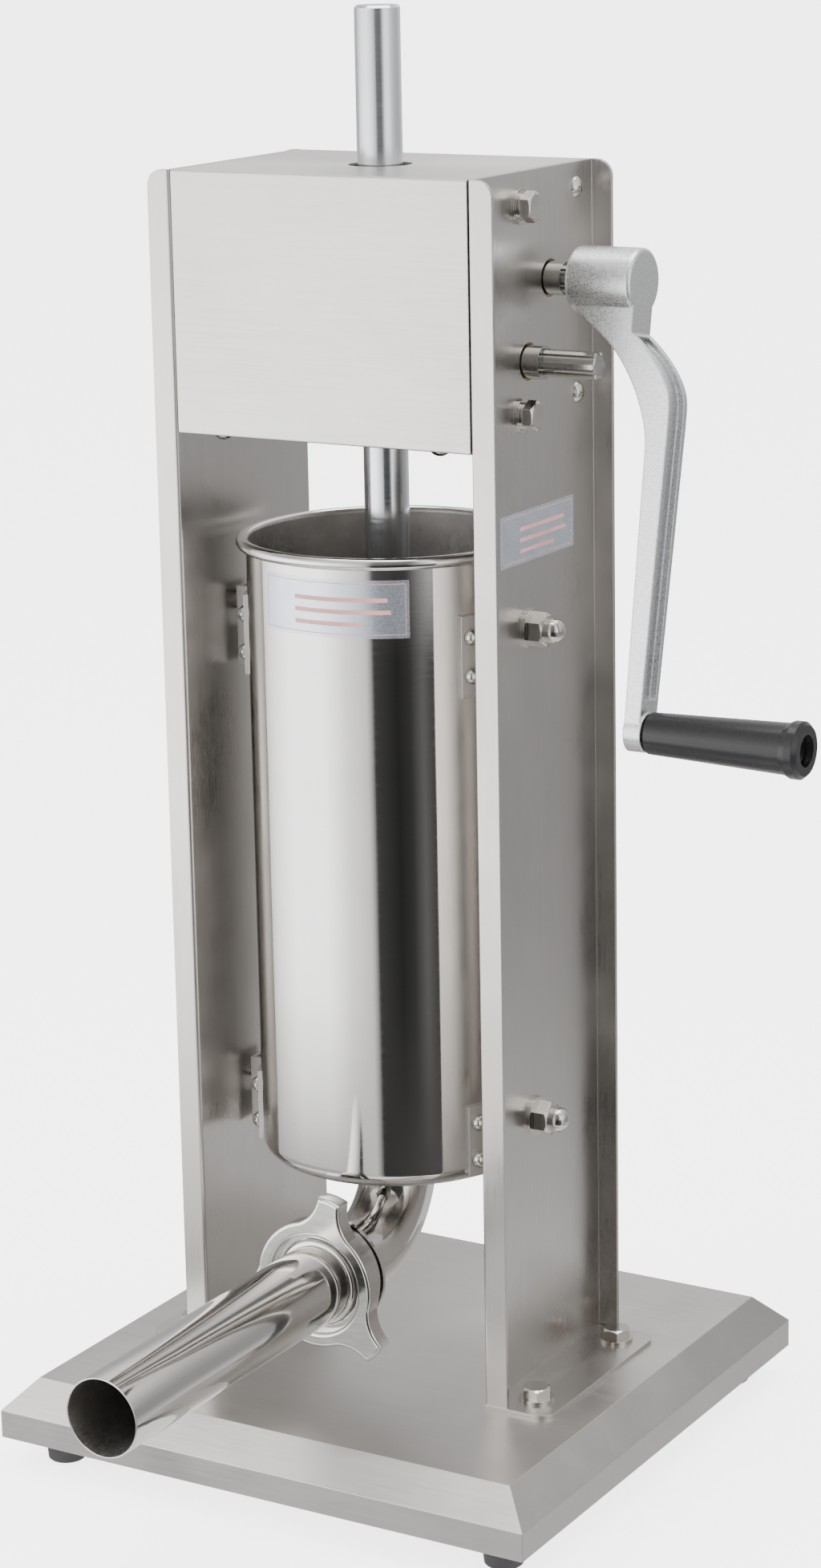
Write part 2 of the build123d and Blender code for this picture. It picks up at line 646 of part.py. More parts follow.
with BuildPart() as barrel:
    with BuildSketch(Plane.XZ):
        with BuildLine():
            floor_top = barrel_bottom + barrel_wall
            inner_corner = barrel_corner - barrel_wall
            Line((outlet_bore, barrel_bottom), (barrel_radius - barrel_corner, barrel_bottom))
            corner_arc(barrel_radius, barrel_corner, barrel_bottom)
            Line((barrel_radius, barrel_bottom + barrel_corner), (barrel_radius, wall_top))
            Line((barrel_radius, wall_top), (barrel_inner, wall_top))
            Line((barrel_inner, wall_top), (barrel_inner, floor_top + inner_corner))
            corner_arc(barrel_inner, inner_corner, floor_top)
            Line((barrel_inner - inner_corner, floor_top), (outlet_bore, floor_top))
            Line((outlet_bore, floor_top), (outlet_bore, barrel_bottom))
        make_face()
        with Locations((barrel_inner + rim_bead, wall_top)):
            Circle(rim_bead)
    revolve(axis=Axis.Z)
save(barrel, "barrel")

with BuildPart() as outlet_elbow:
    with BuildLine():
        Line((0, 0, barrel_bottom), (0, 0, outlet_z + elbow_bend))
        bend_mid = elbow_bend * (1 - math.sqrt(0.5))
        ThreePointArc(
            (0, 0, outlet_z + elbow_bend), (0, -bend_mid, outlet_z + bend_mid), (0, -elbow_bend, outlet_z)
        )
        Line((0, -elbow_bend, outlet_z), (0, elbow_end_y, outlet_z))
    with BuildSketch(Plane.XY.offset(barrel_bottom)):
        Circle(outlet_radius)
        Circle(outlet_bore, mode=Mode.SUBTRACT)
    sweep()
save(outlet_elbow, "outlet_elbow")


def outlet_plane(y):
    """Plane across the outlet's axis, facing the front."""
    return Plane(origin=(0, y, outlet_z), x_dir=(1, 0, 0), z_dir=(0, -1, 0))


with BuildPart() as outlet_ferrule:
    turned_on(
        outlet_plane(ferrule_back_y),
        (outlet_radius, 0), (ferrule_flange_radius, 0), (ferrule_flange_radius, ferrule_flange),
        (thread_radius, ferrule_flange), (thread_radius, ferrule_length - 1.0),
        (thread_radius - 1.0, ferrule_length), (outlet_bore, ferrule_length),
        (outlet_bore, ferrule_socket), (outlet_radius, ferrule_socket),
    )
save(outlet_ferrule, "outlet_ferrule")

with BuildPart() as horn_gasket:
    tube_on(outlet_plane(ferrule_end_y), horn_flange_radius - 1.0, outlet_radius + 0.5, gasket)
save(horn_gasket, "horn_gasket")

# Lowest points of the lower and upper hangers, worked out from their studs.
hanger_bottoms = [
    stud_z + hanger_above_stud - height for stud_z, height in zip(stud_zs, hanger_heights)
]


def hanger_outline(side, bottom):
    """Plan of a hanger: a strip wrapped on the barrel, a step out and a plate beside the web."""
    start, end = (math.radians(angle) for angle in hanger_wrap)
    strip = barrel_radius + hanger_sheet
    middle = (start + end) / 2

    def on_barrel(radius, angle):
        return side * radius * math.sin(angle), -radius * math.cos(angle)

    with BuildSketch(Plane.XY.offset(bottom)) as outline:
        with BuildLine():
            ThreePointArc(*[on_barrel(barrel_radius, a) for a in (start, middle, end)])
            Line(on_barrel(barrel_radius, end), on_barrel(strip, end))
            ThreePointArc(*[on_barrel(strip, a) for a in (end, middle, start)])
            Line(on_barrel(strip, start), on_barrel(barrel_radius, start))
        make_face()
        step_inner = barrel_radius * math.sin(end) - 0.6
        with Locations((side * step_inner, hanger_front)):
            Rectangle(hanger_outer_x - step_inner, hanger_sheet,
                      align=(Align.MIN if side > 0 else Align.MAX, Align.MIN))
        with Locations((side * hanger_outer_x, hanger_front)):
            Rectangle(hanger_sheet, hanger_back - hanger_front,
                      align=(Align.MAX if side > 0 else Align.MIN, Align.MIN))
        Circle(barrel_radius, mode=Mode.SUBTRACT)
    return outline.sketch


def cap_nut_heights(bottom, height):
    """Heights of a hanger's two cap nuts."""
    return [bottom + height / 2 + cap_nut_spread / 2 * way for way in (1, -1)]


def cap_nut_plane(side, radius, z):
    """Plane facing out of the barrel where a cap nut stands."""
    angle = math.radians(cap_nut_angle)
    outward = (side * math.sin(angle), -math.cos(angle), 0)
    return facing(outward[0] * radius, outward[1] * radius, z, outward)


with BuildPart() as barrel_hangers:
    slot_radius = stud_radius + loose
    for bottom, height, stud_z in zip(hanger_bottoms, hanger_heights, stud_zs):
        for side in mirrored_sides():
            extrude(hanger_outline(side, bottom), amount=height)
            slot_low = stud_z - lift_travel
            start_x = side * (hanger_outer_x - hanger_sheet - 0.2)
            for z in (stud_z, slot_low):
                rod_on(facing(start_x, stud_y, z, (side, 0, 0)), slot_radius, hanger_sheet + 1,
                       mode=Mode.SUBTRACT)
            with Locations((side * (hanger_outer_x - hanger_sheet / 2), stud_y, slot_low)):
                Box(hanger_sheet + 0.4, 2 * slot_radius, lift_travel,
                    align=(Align.CENTER, Align.CENTER, Align.MIN), mode=Mode.SUBTRACT)
                Box(hanger_sheet + 0.4, hanger_back - stud_y + 1, 2 * slot_radius,
                    align=(Align.CENTER, Align.MIN, Align.CENTER), mode=Mode.SUBTRACT)
            for z in cap_nut_heights(bottom, height):
                rod_on(cap_nut_plane(side, barrel_radius - 0.5, z), weld_stud_radius + seat, hanger_sheet + 2,
                       mode=Mode.SUBTRACT)
save(barrel_hangers, "barrel_hangers")

with BuildPart() as hanger_cap_nuts:
    shank = hanger_sheet + 0.05
    for bottom, height in zip(hanger_bottoms, hanger_heights):
        for side in mirrored_sides():
            for z in cap_nut_heights(bottom, height):
                place = cap_nut_plane(side, barrel_radius + hanger_sheet + 0.1, z)
                rod_on(place, cap_nut_flange_radius, 1.0)
                dome_on(place.offset(1.0), cap_nut_radius, cap_nut_dome)
                rod_on(place.offset(-shank), weld_stud_radius, shank)
save(hanger_cap_nuts, "hanger_cap_nuts")

# ---------------------------------------------------------------- horn and its ring nut
horn_back_y = ferrule_end_y - gasket

with BuildPart() as stuffing_horn:
    plane = outlet_plane(horn_back_y)
    bend = horn_flange + horn_flare
    bead_low, bead_high = bend + 0.3, bend + 0.3 + 2 * horn_bead
    inner = horn_root_radius - horn_wall
    quarter = 1 - math.sqrt(0.5)
    with BuildSketch(section_through(plane)) as half:
        with BuildLine():
            Polyline((inner, 0), (horn_flange_radius, 0), (horn_flange_radius, horn_flange),
                     (horn_root_radius + horn_flare, horn_flange))
            ThreePointArc(
                (horn_root_radius + horn_flare, horn_flange),
                (horn_root_radius + horn_flare * quarter, horn_flange + horn_flare * quarter),
                (horn_root_radius, bend),
            )
            Line((horn_root_radius, bend), (horn_root_radius, bead_low))
            ThreePointArc((horn_root_radius, bead_low), (horn_root_radius + horn_bead, bead_low + horn_bead),
                          (horn_root_radius, bead_high))
            Polyline((horn_root_radius, bead_high), (horn_tip_radius, horn_length),
                     (horn_tip_radius - horn_wall, horn_length), (inner, 0))
        make_face()
    revolve(half.sketch, Axis(plane.origin, plane.z_dir))
save(stuffing_horn, "stuffing_horn")

nut_back_y = elbow_end_y - loose - 0.2
nut_plate_y = horn_back_y - horn_flange
nut_lip_y = horn_back_y - horn_flange - loose
nut_front_y = nut_lip_y - nut_lip - nut_mouth_depth

with BuildPart() as ring_nut:
    with BuildSketch(outlet_plane(nut_back_y)):
        Circle(nut_skirt_radius)
    extrude(amount=nut_back_y - nut_plate_y)
    with BuildSketch(outlet_plane(nut_plate_y)):
        Circle(nut_ring_radius)
        root = math.radians(wing_root_angle)
        foot = (nut_ring_radius * math.cos(root), nut_ring_radius * math.sin(root))
        waist = (nut_ring_radius + 3.0, wing_half_width + 2.4)
        corner = (nut_wing_radius, wing_half_width)
        with BuildSketch(mode=Mode.PRIVATE) as wing:
            with BuildLine():
                ThreePointArc(foot, waist, corner)
                ThreePointArc(corner, (nut_wing_radius + 0.8, 0), (corner[0], -corner[1]))
                ThreePointArc((corner[0], -corner[1]), (waist[0], -waist[1]), (foot[0], -foot[1]))
                Line((foot[0], -foot[1]), foot)
            make_face()
        with PolarLocations(0, len(wing_angles), start_angle=wing_angles[0]):
            add(wing.sketch)
    extrude(amount=nut_plate_y - nut_front_y)
    front_rim = ring_nut.edges().filter_by(
        lambda edge: abs(edge.bounding_box().max.Y - nut_front_y) < 0.01)
    fillet(front_rim, radius=1.8)
    rod_on(outlet_plane(nut_back_y), thread_radius + loose, nut_back_y - nut_lip_y, mode=Mode.SUBTRACT)
    rod_on(outlet_plane(nut_back_y), nut_lip_radius, nut_back_y - nut_front_y, mode=Mode.SUBTRACT)
    rod_on(outlet_plane(nut_front_y + nut_mouth_depth), nut_mouth_radius, nut_mouth_depth, mode=Mode.SUBTRACT)
    mouth = ring_nut.edges().filter_by(GeomType.CIRCLE).filter_by(
        lambda edge: abs(edge.center().Y - nut_front_y) < 0.01 and abs(edge.radius - nut_mouth_radius) < 0.1)
    fillet(mouth, radius=2.0)
save(ring_nut, "ring_nut")

# ---------------------------------------------------------------- piston and rack rod
seal_z = piston_low + piston_plate
top_plate_z = seal_z + piston_seal_height
rod_seat_z = top_plate_z + piston_plate
stub_bottom = piston_low - piston_nut_height

with BuildPart() as piston_rod:
    rod_on(Plane.XY.offset(rod_seat_z), rod_radius, rod_top - rod_seat_z)
    chamfer(piston_rod.edges().group_by(Axis.Z)[-1], length=1.2)
    rod_on(Plane.XY.offset(stub_bottom), piston_stub_radius, rod_seat_z - stub_bottom)
    rack_tip_y = rack_pitch_y + rack_addendum
    with Locations((0, rack_tip_y, rack_low)):
        Box(2 * rod_radius, rod_radius, rack_high - rack_low, align=(Align.CENTER, Align.MIN, Align.MIN),
            mode=Mode.SUBTRACT)
    rack_step = math.pi * gear_module
    half_gap = rack_step / 4 + backlash / 4
    slope = math.tan(pressure_angle)
    first = math.ceil((rack_low - fast_z) / rack_step + 0.5)
    last = math.floor((rack_high - fast_z) / rack_step - 0.5)
    with BuildSketch(Plane.YZ.offset(-rod_radius)) as gaps:
        with Locations(*[(rack_pitch_y, fast_z + step * rack_step) for step in range(first, last + 1)]):
            Polygon(
                (-rack_dedendum, -half_gap + rack_dedendum * slope),
                (rack_addendum + 1.0, -half_gap - (rack_addendum + 1.0) * slope),
                (rack_addendum + 1.0, half_gap + (rack_addendum + 1.0) * slope),
                (-rack_dedendum, half_gap - rack_dedendum * slope),
                align=None,
            )
    extrude(gaps.sketch, amount=2 * rod_radius, mode=Mode.SUBTRACT)
save(piston_rod, "piston_rod")

with BuildPart() as piston_top_plate:
    tube_on(Plane.XY.offset(top_plate_z), piston_radius, piston_stub_radius + seat, piston_plate)
    chamfer(piston_top_plate.edges().filter_by(GeomType.CIRCLE).group_by(Axis.Z)[-1].sort_by(
        lambda edge: edge.radius)[-1], length=1.5)
save(piston_top_plate, "piston_top_plate")

with BuildPart() as piston_seal:
    turned_on(
        Plane.XY.offset(seal_z),
        (piston_stub_radius + seat, 0), (seal_radius, 0), (seal_radius - 1.2, piston_seal_height / 2),
        (seal_radius, piston_seal_height), (piston_stub_radius + seat, piston_seal_height),
    )
save(piston_seal, "piston_seal")

with BuildPart() as piston_bottom_plate:
    tube_on(Plane.XY.offset(piston_low), piston_radius - 0.5, piston_stub_radius + seat, piston_plate)
save(piston_bottom_plate, "piston_bottom_plate")

with BuildPart() as piston_nut:
    hexagon_on(facing(0, 0, piston_low, (0, 0, -1)), piston_nut_flats, piston_nut_height,
               bore=piston_stub_radius + seat)
save(piston_nut, "piston_nut")

# ---------------------------------------------------------------- shafts and gears
left_end_x = -(web_inner_x - 1.0)
slow_end_x = centre_plate_x - 1.0
pinion_tip = gear_module * rack_pinion_teeth / 2 + 1.8
pinion_root = gear_module * rack_pinion_teeth / 2 - 1.6
collar_gap = 0.3
collar_x = wall_inner_x - bush_flange - collar_gap - collar_width


def along_x(x, y, z):
    """Plane facing +X, with local x to the back and local y up."""
    return Plane(origin=(x, y, z), x_dir=(0, 1, 0), z_dir=(1, 0, 0))


def shaft_end(y, z):
    """Splined end of a shaft, past its last journal."""
    outline = splined_outline(along_x(journal_end_x, y, z))
    extrude(outline, amount=shaft_end_x - journal_end_x)


with BuildPart() as fast_shaft:
    rod_on(along_x(left_end_x, fast_y, fast_z), journal_radius, -left_end_x - pinion_half_face)
    gear_on(along_x(-pinion_half_face, fast_y, fast_z), rack_pinion_teeth, 180.0, pinion_tip, pinion_root,
            2 * pinion_half_face)
    rod_on(along_x(pinion_half_face, fast_y, fast_z), journal_radius, journal_end_x - pinion_half_face)
    shaft_end(fast_y, fast_z)
    chamfer(fast_shaft.faces().sort_by(Axis.X)[-1].edges(), length=0.6)
save(fast_shaft, "fast_shaft")

mesh_angle = math.degrees(math.atan2(slow_z - fast_z, slow_y - fast_y))
drive_tip, drive_root = gear_module * drive_teeth / 2 + 2.0, gear_module * drive_teeth / 2 - 2.5
slow_tip, slow_root = gear_module * slow_teeth / 2 + 2.0, gear_module * slow_teeth / 2 - 2.5

with BuildPart() as drive_gear:
    gear_on(along_x(drive_gear_x, fast_y, fast_z), drive_teeth, mesh_angle, drive_tip, drive_root,
            drive_gear_face)
    rod_on(along_x(drive_gear_x - 4.0, fast_y, fast_z), gear_hub_radius,
           drive_gear_face + 8.0)
    rod_on(along_x(drive_gear_x - 5.0, fast_y, fast_z), journal_radius + seat, drive_gear_face + 10.0,
           mode=Mode.SUBTRACT)
save(drive_gear, "drive_gear")

with BuildPart() as slow_pinion:
    gear_on(along_x(drive_gear_x - 1.0, slow_y, slow_z), slow_teeth, mesh_angle + 180.0 + 180.0 / slow_teeth,
            slow_tip, slow_root, drive_gear_face + 2.0)
    rod_on(along_x(drive_gear_x - 2.0, slow_y, slow_z), journal_radius + seat, drive_gear_face + 4.0,
           mode=Mode.SUBTRACT)
save(slow_pinion, "slow_pinion")

with BuildPart() as slow_shaft:
    rod_on(along_x(slow_end_x, slow_y, slow_z), journal_radius, journal_end_x - slow_end_x)
    shaft_end(slow_y, slow_z)
    chamfer(slow_shaft.faces().sort_by(Axis.X)[-1].edges(), length=0.6)
save(slow_shaft, "slow_shaft")

with BuildPart() as fast_shaft_collars:
    tube_on(along_x(collar_x, fast_y, fast_z), collar_radius, journal_radius + seat, collar_width)
    tube_on(along_x(-collar_x - collar_width, fast_y, fast_z), collar_radius, journal_radius + seat,
            collar_width)
save(fast_shaft_collars, "fast_shaft_collars")

with BuildPart() as slow_shaft_collar:
    tube_on(along_x(collar_x, slow_y, slow_z), collar_radius, journal_radius + seat, collar_width)
save(slow_shaft_collar, "slow_shaft_collar")

# ---------------------------------------------------------------- crank
arm_down = Vector(0, -math.sin(crank_tilt), -math.cos(crank_tilt))
crank_side = Plane(
    origin=(0, fast_y, fast_z), x_dir=(1, 0, 0), z_dir=(0, -math.cos(crank_tilt), math.sin(crank_tilt))
)
crank_face = Plane(origin=(0, fast_y, fast_z), x_dir=-arm_down.cross(Vector(1, 0, 0)), z_dir=(1, 0, 0))
boss_y = fast_y + arm_down.Y * crank_radius
boss_z = fast_z + arm_down.Z * crank_radius
keyhole_depth = 24.0


def arm_outer_curve(inset):
    """Outer face of the arm in side view, moved towards the machine by an inset."""
    return [
        (hub_end_x - inset, -keyhole_depth), (hub_end_x + 11.0 - inset, -34.0),
        (arm_outer_x - 1.2 - inset, -50.0), (arm_outer_x - inset, -66.0),
    ]


with BuildPart() as crank_hub:
    rod_on(crank_face.offset(hub_x), hub_radius, hub_end_x - hub_x)
    hub_rims = crank_hub.edges().filter_by(GeomType.CIRCLE).sort_by(Axis.X)
    fillet([hub_rims[0], hub_rims[-1]], radius=hub_rounding)

with BuildPart() as crank_arm:
    with BuildSketch(crank_side):
        with BuildLine():
            outer = arm_outer_curve(0)
            Line((hub_x + 4.0, 0), (hub_end_x, 0))
            Line((hub_end_x, 0), outer[0])
            Spline(*outer, tangents=[(1.0, -0.75), (0.0, -1.0)])
            Line(outer[-1], (arm_tip_x, -crank_radius))
            Line((arm_tip_x, -crank_radius), (arm_inner_x, -crank_radius))
            Line((arm_inner_x, -crank_radius), (arm_inner_x, -78.0))
            Spline((arm_inner_x, -78.0), (arm_inner_x - 3.4, -60.0), (arm_inner_x - 10.4, -45.0),
                   (arm_inner_x - 20.0, -32.0), (hub_x + 4.0, -14.0),
                   tangents=[(0.0, 1.0), (-1.0, 0.8)])
            Line((hub_x + 4.0, -14.0), (hub_x + 4.0, 0))
        make_face()
    extrude(amount=hub_radius, both=True)
    with BuildSketch(crank_face):
        Circle(hub_radius - hub_rounding)
        with Locations((0, -crank_radius)):
            Circle(boss_radius)
        Polygon((-arm_half_width, 0), (arm_half_width, 0), (arm_tip_half_width, -crank_radius),
                (-arm_tip_half_width, -crank_radius), align=None)
    extrude(amount=arm_outer_x + 5.0, mode=Mode.INTERSECT)
    add(crank_hub.part)
    rod_on(facing(arm_inner_x, boss_y, boss_z, (1, 0, 0)), boss_radius, boss_end_x - arm_inner_x)
    with BuildSketch(crank_side):
        with BuildLine():
            floor_line = arm_outer_curve(channel_depth)
            channel_end = -(crank_radius - boss_radius - 6.0)
            Line((floor_line[0][0], floor_line[0][1] - 1.5), (arm_outer_x + 9.0, floor_line[0][1] - 1.5))
            Line((arm_outer_x + 9.0, floor_line[0][1] - 1.5), (arm_outer_x + 9.0, channel_end))
            Line((arm_outer_x + 9.0, channel_end), (arm_tip_x - channel_depth, channel_end))
            Line((arm_tip_x - channel_depth, channel_end), floor_line[-1])
            Spline(floor_line[-1], floor_line[-2], floor_line[-3],
                   (floor_line[0][0], floor_line[0][1] - 1.5), tangents=[(0.0, 1.0), (-1.0, 0.75)])
        make_face()
    extrude(amount=channel_half_width, both=True, mode=Mode.SUBTRACT)
    socket = splined_outline(along_x(hub_x - 1.0, fast_y, fast_z), socket_gap)
    extrude(socket, amount=socket_end_x - hub_x + 1.0, mode=Mode.SUBTRACT)
    rod_on(facing(arm_inner_x - 1, boss_y, boss_z, (1, 0, 0)), spindle_radius + seat, arm_thick + 5.0,
           mode=Mode.SUBTRACT)
save(crank_arm, "crank_arm")

with BuildPart() as grip_spindle:
    spindle_end = grip_x + grip_length - grip_recess_depth + loose
    rod_on(along_x(arm_inner_x, boss_y, boss_z), spindle_radius, spindle_end - arm_inner_x)
    rod_on(along_x(spindle_end, boss_y, boss_z), spindle_head_radius, 2.8)
save(grip_spindle, "grip_spindle")

with BuildPart() as crank_grip:
    bore = spindle_radius + running
    bead = grip_length - 6.0
    floor = grip_length - grip_recess_depth
    turned_on(
        along_x(grip_x, boss_y, boss_z),
        (bore, 0), (grip_root_radius - 0.8, 0), (grip_root_radius, 0.8), (grip_end_radius, bead - 3.0),
        (grip_bead_radius, bead), (grip_bead_radius, bead + 4.0), (grip_bead_radius - 1.8, grip_length),
        (grip_recess_radius, grip_length), (grip_recess_radius, floor), (bore, floor),
    )
save(crank_grip, "crank_grip")
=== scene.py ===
"""Studio scene of the sausage stuffer: finishes for the CAD nodes, turned shells for the barrel and the horn,
weld beads, a horn seam, blank foil stickers, a pale floor, soft lights, the camera, and a ring of panels that
only reflections see. Metres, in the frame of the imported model."""

import math

import bmesh
import bpy
from mathutils import Matrix, Vector


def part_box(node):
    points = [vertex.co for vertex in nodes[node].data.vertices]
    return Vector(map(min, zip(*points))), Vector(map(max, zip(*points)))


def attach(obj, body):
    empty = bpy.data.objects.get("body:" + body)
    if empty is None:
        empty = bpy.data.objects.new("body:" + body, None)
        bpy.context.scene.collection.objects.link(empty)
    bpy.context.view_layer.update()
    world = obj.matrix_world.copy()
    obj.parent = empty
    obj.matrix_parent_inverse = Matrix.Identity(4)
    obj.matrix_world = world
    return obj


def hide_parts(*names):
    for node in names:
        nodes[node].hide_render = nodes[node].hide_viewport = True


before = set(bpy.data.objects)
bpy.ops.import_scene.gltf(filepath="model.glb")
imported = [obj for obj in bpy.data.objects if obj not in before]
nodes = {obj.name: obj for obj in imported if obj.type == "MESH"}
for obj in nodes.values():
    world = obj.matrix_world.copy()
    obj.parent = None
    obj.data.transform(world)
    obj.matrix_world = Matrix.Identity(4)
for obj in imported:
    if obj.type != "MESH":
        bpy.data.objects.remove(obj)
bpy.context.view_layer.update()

MM = 0.001


# ---------------------------------------------------------------- material helpers
class Nodes:
    """A material's node tree, with short calls for the nodes used here."""

    def __init__(self, name):
        self.material = bpy.data.materials.new(name)
        self.material.use_nodes = True
        self.tree = self.material.node_tree
        self.shader = self.tree.nodes["Principled BSDF"]
        self.coords = self.tree.nodes.new("ShaderNodeTexCoord").outputs["Object"]

    def set(self, **sockets):
        """Constant values on the shader's own sockets."""
        for name, value in sockets.items():
            self.shader.inputs[name.replace("_", " ")].default_value = value

    def link(self, source, target):
        self.tree.links.new(source, target)

    def stretched(self, scale):
        """Object coordinates scaled by axis, so that noise runs in streaks."""
        node = self.tree.nodes.new("ShaderNodeMapping")
        node.inputs["Scale"].default_value = scale
        self.link(self.coords, node.inputs["Vector"])
        return node.outputs["Vector"]

    def noise(self, vector, scale, detail=4.0, roughness=0.6):
        node = self.tree.nodes.new("ShaderNodeTexNoise")
        node.inputs["Scale"].default_value = scale
        node.inputs["Detail"].default_value = detail
        node.inputs["Roughness"].default_value = roughness
        self.link(vector, node.inputs["Vector"])
        return node.outputs["Fac"]

    def remap(self, source, low, high, from_low=0.3, from_high=0.7):
        node = self.tree.nodes.new("ShaderNodeMapRange")
        node.inputs["From Min"].default_value = from_low
        node.inputs["From Max"].default_value = from_high
        node.inputs["To Min"].default_value = low
        node.inputs["To Max"].default_value = high
        self.link(source, node.inputs["Value"])
        return node.outputs["Result"]

    def colour_between(self, source, dark, light, from_low=0.3, from_high=0.7):
        ramp = self.tree.nodes.new("ShaderNodeValToRGB")
        ramp.color_ramp.elements[0].position = from_low
        ramp.color_ramp.elements[1].position = from_high
        ramp.color_ramp.elements[0].color = (*dark, 1.0)
        ramp.color_ramp.elements[1].color = (*light, 1.0)
        self.link(source, ramp.inputs["Fac"])
        self.link(ramp.outputs["Color"], self.shader.inputs["Base Color"])

    def roughness_from(self, source):
        self.link(source, self.shader.inputs["Roughness"])

    def bump(self, *layers, edge=0.0):
        """Chain bump layers of (height, depth in metres), over edges softened by a radius."""
        normal = None
        if edge:
            bevel = self.tree.nodes.new("ShaderNodeBevel")
            bevel.samples = 4
            bevel.inputs["Radius"].default_value = edge
            normal = bevel.outputs["Normal"]
        for height, depth in layers:
            node = self.tree.nodes.new("ShaderNodeBump")
            node.inputs["Distance"].default_value = depth
            node.inputs["Strength"].default_value = 1.0
            self.link(height, node.inputs["Height"])
            if normal is not None:
                self.link(normal, node.inputs["Normal"])
            normal = node.outputs["Normal"]
        if normal is not None:
            self.link(normal, self.shader.inputs["Normal"])


def brushed_steel(name, along, tone, roughness):
    """Stainless sheet brushed along one axis (0, 1 or 2): fine streaks, faint smudges and soft folds."""
    fine_stretch, coarse_stretch = 0.02, 0.04
    smudge_share, smudge_offset = 0.35, 0.12
    m = Nodes(name)
    scale = [1.0, 1.0, 1.0]
    scale[along] = fine_stretch
    fine = m.noise(m.stretched(scale), 1500.0, 3.0)
    scale[along] = coarse_stretch
    coarse = m.noise(m.stretched(scale), 420.0, 5.0)
    smudge = m.noise(m.coords, 14.0, 3.0)
    dark = tuple(c * 0.95 for c in tone)
    m.colour_between(coarse, dark, tone)
    m.set(Metallic=1.0, Anisotropic=0.35)
    mixed = m.tree.nodes.new("ShaderNodeMath")
    mixed.operation = "MULTIPLY_ADD"
    mixed.inputs[1].default_value = smudge_share
    m.link(smudge, mixed.inputs[0])
    m.link(m.remap(fine, roughness[0] - smudge_offset, roughness[1] - smudge_offset), mixed.inputs[2])
    m.roughness_from(mixed.outputs["Value"])
    m.bump((fine, 0.000010), (coarse, 0.000006), edge=0.0006)
    return m.material


def polished_steel(name, tone, roughness):
    """Polished stainless: near-mirror, with faint buffing haze and a slight waviness."""
    m = Nodes(name)
    haze = m.noise(m.coords, 30.0, 5.0)
    wave = m.noise(m.coords, 9.0, 1.0)
    buff = m.noise(m.stretched((1.0, 1.0, 8.0)), 90.0, 4.0)
    m.colour_between(haze, tuple(c * 0.95 for c in tone), tone)
    m.set(Metallic=1.0)
    m.roughness_from(m.remap(buff, roughness * 0.7, roughness * 1.7))
    m.bump((wave, 0.0003), (buff, 0.000006))
    return m.material


def cast_aluminium():
    """Tumbled cast aluminium: a fine sparkle of pits over soft, slightly uneven skin."""
    m = Nodes("cast_aluminium")
    grain = m.noise(m.coords, 1400.0, 3.0)
    skin = m.noise(m.coords, 180.0, 4.0)
    m.colour_between(grain, (0.58, 0.59, 0.60), (0.90, 0.91, 0.92), 0.35, 0.65)
    m.set(Metallic=1.0)
    m.roughness_from(m.remap(grain, 0.20, 0.40))
    m.bump((skin, 0.00008), (grain, 0.00006), edge=0.0012)
    return m.material


def machined_steel(name, tone, roughness, edge=0.0004):
    """Turned or stamped steel with faint tool marks."""
    m = Nodes(name)
    marks = m.noise(m.coords, 700.0, 3.0)
    stain = m.noise(m.coords, 90.0, 4.0)
    m.colour_between(stain, tuple(c * 0.82 for c in tone), tone)
    m.set(Metallic=1.0)
    m.roughness_from(m.remap(marks, roughness * 0.75, roughness * 1.3))
    m.bump((marks, 0.00002), edge=edge)
    return m.material


def moulded(name, tone, roughness, grain_scale, grain_depth, edge=0.0005, specular=0.5):
    """Moulded plastic, rubber or silicone with a fine mould grain."""
    m = Nodes(name)
    grain = m.noise(m.coords, grain_scale, 3.0)
    patch = m.noise(m.coords, 45.0, 3.0)
    m.colour_between(patch, tuple(c * 0.75 for c in tone), tone)
    m.set(Metallic=0.0, Specular_IOR_Level=specular)
    m.roughness_from(m.remap(grain, roughness * 0.8, roughness * 1.2))
    m.bump((grain, grain_depth), edge=edge)
    return m.material


def foil():
    """Thin silver foil sticker: slight crinkle and a faint cool tint."""
    m = Nodes("sticker_foil")
    crinkle = m.noise(m.coords, 60.0, 3.0)
    speck = m.noise(m.coords, 900.0, 2.0)
    m.colour_between(crinkle, (0.50, 0.55, 0.63), (0.60, 0.64, 0.70))
    m.set(Metallic=0.9)
    m.roughness_from(m.remap(speck, 0.20, 0.32))
    m.bump((crinkle, 0.00002))
    return m.material


def floor_material():
    """Pale matt floor that gives off light of its own, so that it stays near white."""
    m = Nodes("studio_floor")
    mottle = m.noise(m.coords, 3.0, 2.0)
    m.colour_between(mottle, (0.90, 0.90, 0.90), (0.92, 0.92, 0.92))
    m.set(Roughness=0.6, Emission_Color=(1.0, 1.0, 1.0, 1.0), Emission_Strength=3.2)
    return m.material


warm_steel = (0.60, 0.575, 0.55)
sheet_upright = brushed_steel("brushed_upright", 2, warm_steel, (0.23, 0.29))
sheet_across = brushed_steel("brushed_across", 0, (0.66, 0.64, 0.615), (0.28, 0.38))
sheet_base = brushed_steel("brushed_base", 0, (0.60, 0.58, 0.56), (0.26, 0.36))
polish = polished_steel("polished_steel", (0.74, 0.72, 0.70), 0.06)
polish_nut = polished_steel("polished_casting", (0.70, 0.69, 0.67), 0.13)
chrome_rod = polished_steel("zinc_plated_rod", (0.72, 0.74, 0.77), 0.12)
casting = cast_aluminium()
steel = machined_steel("machined_steel", (0.52, 0.51, 0.50), 0.32)
bright_fastener = machined_steel("fastener_steel", (0.66, 0.63, 0.59), 0.13, edge=0.0003)
spline_steel = machined_steel("spline_steel", (0.50, 0.49, 0.46), 0.15, edge=0.0002)
